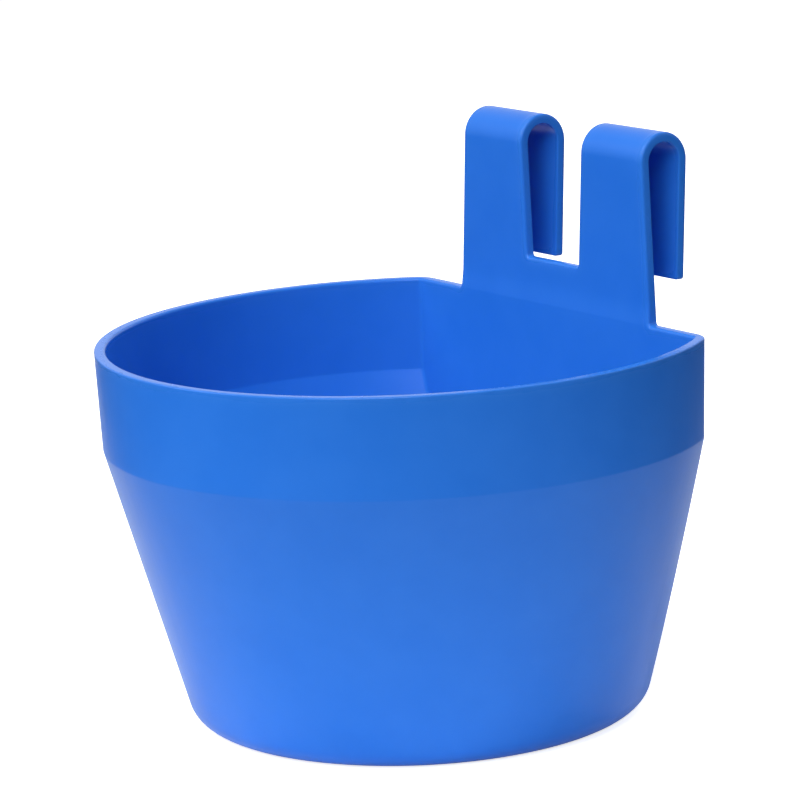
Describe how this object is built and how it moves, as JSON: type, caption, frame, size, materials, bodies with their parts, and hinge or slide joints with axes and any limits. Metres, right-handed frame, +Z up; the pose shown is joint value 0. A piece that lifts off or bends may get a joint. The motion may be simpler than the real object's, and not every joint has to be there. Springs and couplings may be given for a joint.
{
  "type": "feeder cup",
  "caption": "Tapered plastic feeder cup with an upright rim band and a flat back, and hook straps that hang it on a cage wire or a rail.",
  "frame": {"origin": "on the axis of the round wall, on the underside of the floor", "axes": "+Z up, -Y to the round front, +Y to the flat back with the hooks, +X across the cup along its longest side"},
  "size_m": [0.1, 0.0899, 0.093],
  "materials": {
    "cup_plastic": "satin blue polypropylene, as moulded"
  },
  "bodies": {
    "root": {"cup_bowl": "cup_plastic", "hook_bridge": "cup_plastic", "left_hook": "cup_plastic", "right_hook": "cup_plastic"}
  },
  "joints": []
}
